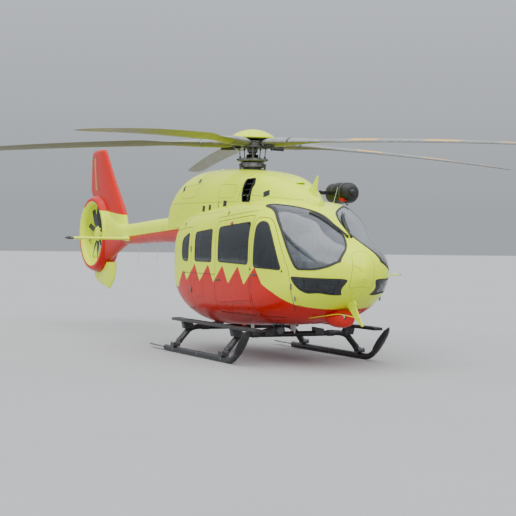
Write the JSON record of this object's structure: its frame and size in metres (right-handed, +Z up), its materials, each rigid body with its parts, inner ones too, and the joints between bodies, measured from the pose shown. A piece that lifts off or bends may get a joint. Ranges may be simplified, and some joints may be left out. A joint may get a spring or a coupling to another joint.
{
  "type": "helicopter",
  "caption": "Light twin-engine rescue helicopter on skids, with a bladed main rotor that turns, a ducted tail fan, opening cockpit and clamshell doors and a swinging hoist",
  "frame": {"origin": "middle of the whole machine's bounding box, on the ground under the skids", "axes": "+Z up, nose toward -Y, right-hand side of the aircraft toward -X"},
  "size_m": [10.0276, 12.8868, 3.595],
  "materials": {
    "black_alloy": "matte",
    "black_cover": "matte",
    "blade_composite": "satin",
    "bright_alloy": "satin",
    "dark_steel": "satin",
    "red_composite": "gloss",
    "red_metal": "gloss",
    "seat_cloth": "matte",
    "tinted_glass": "gloss",
    "trim_plastic": "matte",
    "yellow_composite": "gloss",
    "yellow_metal": "gloss"
  },
  "bodies": {
    "fuselage": {"belly": "red_metal", "cabin_seats": "seat_cloth", "cabin_shell": "yellow_metal", "camera_pod": "red_composite", "chin_window_left": "tinted_glass", "chin_window_right": "tinted_glass", "cockpit_frame": "yellow_metal", "engine_cowling_left": "yellow_composite", "engine_cowling_right": "yellow_composite", "engines_and_gearbox": "dark_steel", "exhaust_left": "dark_steel", "exhaust_right": "dark_steel", "fan_stator": "yellow_composite", "fixed_swashplate": "dark_steel", "front_cross_tube": "black_alloy", "gearbox_fairing": "yellow_composite", "hoist_bracket": "black_cover", "horizontal_stabilizer": "yellow_composite", "instrument_panel": "trim_plastic", "lower_wire_cutter": "yellow_composite", "nose": "yellow_metal", "pilot_seat_left": "seat_cloth", "pilot_seat_right": "seat_cloth", "rear_cross_tube": "black_alloy", "searchlight": "black_cover", "side_window_left": "tinted_glass", "side_window_right": "tinted_glass", "skid_left": "black_alloy", "skid_right": "black_alloy", "sliding_door_left": "yellow_composite", "sliding_door_left_window": "tinted_glass", "sliding_door_right": "yellow_composite", "sliding_door_right_window": "tinted_glass", "step_left": "black_alloy", "step_right": "black_alloy", "stretcher": "bright_alloy", "tail_boom": "yellow_metal", "tail_shroud": "red_composite", "upper_wire_cutter": "yellow_composite", "windscreen_left": "tinted_glass", "windscreen_right": "tinted_glass"},
    "main_rotor": {"rotor_head": "dark_steel", "rotor_cap": "yellow_composite", "blade_1": "blade_composite", "blade_2": "blade_composite", "blade_3": "blade_composite", "blade_4": "blade_composite", "blade_5": "blade_composite"},
    "tail_fan_rotor": {"tail_fan": "dark_steel"},
    "front_door_right_body": {"front_door_right": "yellow_composite", "front_door_right_window": "tinted_glass"},
    "front_door_left_body": {"front_door_left": "yellow_composite", "front_door_left_window": "tinted_glass"},
    "rear_door_right_body": {"rear_door_right": "yellow_composite", "rear_door_right_window": "tinted_glass"},
    "rear_door_left_body": {"rear_door_left": "yellow_composite", "rear_door_left_window": "tinted_glass"},
    "hoist_arm": {"hoist": "black_cover"}
  },
  "joints": [
    {"name": "main_rotor_spin", "type": "hinge", "parent": "fuselage", "child": "main_rotor", "pos_m": [-0.3758, -1.4216, 3.34], "axis": [0, 0, 1], "continuous": true},
    {"name": "tail_fan_spin", "type": "hinge", "parent": "fuselage", "child": "tail_fan_rotor", "pos_m": [-0.3758, 5.6534, 1.865], "axis": [1, 0, 0], "continuous": true},
    {"name": "front_door_right_hinge", "type": "hinge", "parent": "fuselage", "child": "front_door_right_body", "pos_m": [-1.1658, -4.2186, 1.3], "axis": [0, 0, 1], "range_deg": [0, 75]},
    {"name": "front_door_left_hinge", "type": "hinge", "parent": "fuselage", "child": "front_door_left_body", "pos_m": [0.4142, -4.2186, 1.3], "axis": [0, 0, -1], "range_deg": [0, 75]},
    {"name": "rear_door_right_hinge", "type": "hinge", "parent": "fuselage", "child": "rear_door_right_body", "pos_m": [-1.3158, -1.1596, 1.3], "axis": [0, 0, 1], "range_deg": [0, 95]},
    {"name": "rear_door_left_hinge", "type": "hinge", "parent": "fuselage", "child": "rear_door_left_body", "pos_m": [0.5642, -1.1596, 1.3], "axis": [0, 0, -1], "range_deg": [0, 95]},
    {"name": "hoist_arm_swing", "type": "hinge", "parent": "fuselage", "child": "hoist_arm", "pos_m": [0.4242, -2.0616, 2.5], "axis": [0, 0, 1], "range_deg": [-35, 35]}
  ]
}
